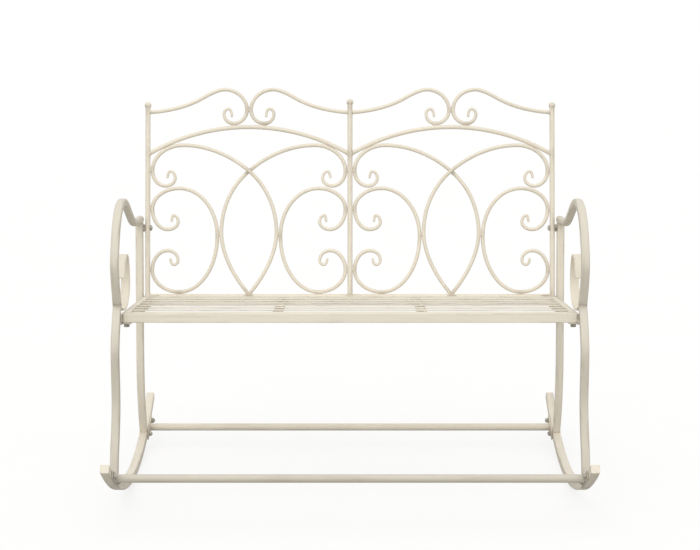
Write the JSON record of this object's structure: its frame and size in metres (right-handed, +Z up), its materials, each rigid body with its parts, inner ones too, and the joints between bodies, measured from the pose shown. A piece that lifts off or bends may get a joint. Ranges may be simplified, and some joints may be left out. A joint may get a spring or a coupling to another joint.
{
  "type": "rocking bench",
  "caption": "Rocking bench of painted iron with a scrollwork back, a slatted seat, swept arms, and curved rockers joined by round foot bars.",
  "frame": {"origin": "on the floor, at the middle of the bench's width and of its length from front to back, as it stands at rest", "axes": "+X to the right as seen from the front, -Y towards the front of the bench, +Z up; right names a node on the +X side"},
  "size_m": [1.1, 0.9456, 0.9356],
  "materials": {
    "paint": "antique white paint, brushed through to a brown grey wash along edges and joints",
    "fastener": "the same paint over bolt heads, a little darker"
  },
  "bodies": {
    "root": {"rocker_right": "paint", "rocker_left": "paint", "front_leg_right": "paint", "front_leg_left": "paint", "rear_leg_right": "paint", "rear_leg_left": "paint", "armrest_right": "paint", "armrest_left": "paint", "arm_scroll_right": "paint", "arm_scroll_left": "paint", "foot_bar_front": "paint", "foot_bar_rear": "paint", "foot_bolt_front_1_right": "fastener", "foot_bolt_front_1_left": "fastener", "foot_bolt_front_2_right": "fastener", "foot_bolt_front_2_left": "fastener", "foot_bolt_rear_1_right": "fastener", "foot_bolt_rear_1_left": "fastener", "foot_bolt_rear_2_right": "fastener", "foot_bolt_rear_2_left": "fastener", "seat_rail_front": "paint", "seat_rail_rear": "paint", "seat_rail_side_right": "paint", "seat_rail_side_left": "paint", "seat_slat_1": "paint", "seat_slat_2": "paint", "seat_slat_3": "paint", "seat_slat_4": "paint", "seat_slat_5": "paint", "seat_slat_6": "paint", "seat_slat_7": "paint", "slat_support_right": "paint", "slat_support_left": "paint", "seat_bolt_front_right": "fastener", "seat_bolt_front_left": "fastener", "seat_bolt_rear_right": "fastener", "seat_bolt_rear_left": "fastener", "back_rail": "paint", "back_post_centre": "paint", "back_post_right": "paint", "back_post_left": "paint", "arch_right": "paint", "arch_left": "paint", "crest_scroll_right_outer": "paint", "crest_scroll_right_inner": "paint", "crest_scroll_left_outer": "paint", "crest_scroll_left_inner": "paint", "lattice_bar_right_outer": "paint", "lattice_bar_right_inner": "paint", "lattice_bar_left_outer": "paint", "lattice_bar_left_inner": "paint", "c_scroll_right_outer": "paint", "c_scroll_right_inner": "paint", "c_scroll_left_outer": "paint", "c_scroll_left_inner": "paint", "back_spacer_right": "fastener", "back_spacer_left": "fastener", "back_bolt_right": "fastener", "back_bolt_left": "fastener"}
  },
  "joints": []
}
